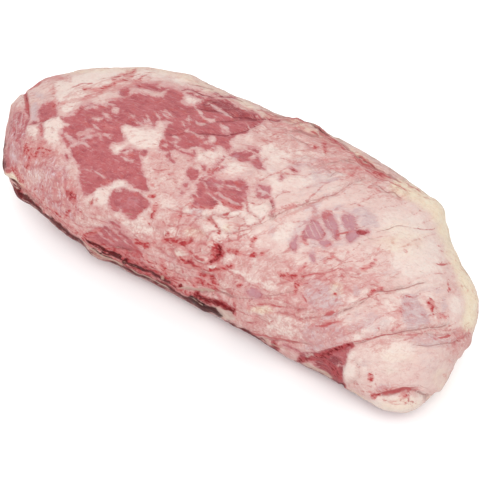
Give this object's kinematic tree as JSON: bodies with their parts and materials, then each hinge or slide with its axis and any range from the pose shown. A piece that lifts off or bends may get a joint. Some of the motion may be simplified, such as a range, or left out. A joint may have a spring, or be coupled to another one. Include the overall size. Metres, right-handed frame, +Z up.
{
  "type": "beef eye of round",
  "caption": "Whole raw eye-of-round muscle, a long flattened oval with a slim end and a blunt oblique end, under a thin pale fat cover, lying on its flat underside.",
  "frame": {"origin": "on the table, under the middle of the piece's overall size", "axes": "+X along the muscle to its broad blunt end, -Y towards the side seen in the picture, +Z up"},
  "size_m": [0.3, 0.124, 0.09],
  "materials": {
    "raw_beef": "moist raw meat, pale pink fat and membrane over rose lean"
  },
  "bodies": {
    "root": {"eye_of_round": "raw_beef"}
  },
  "joints": []
}
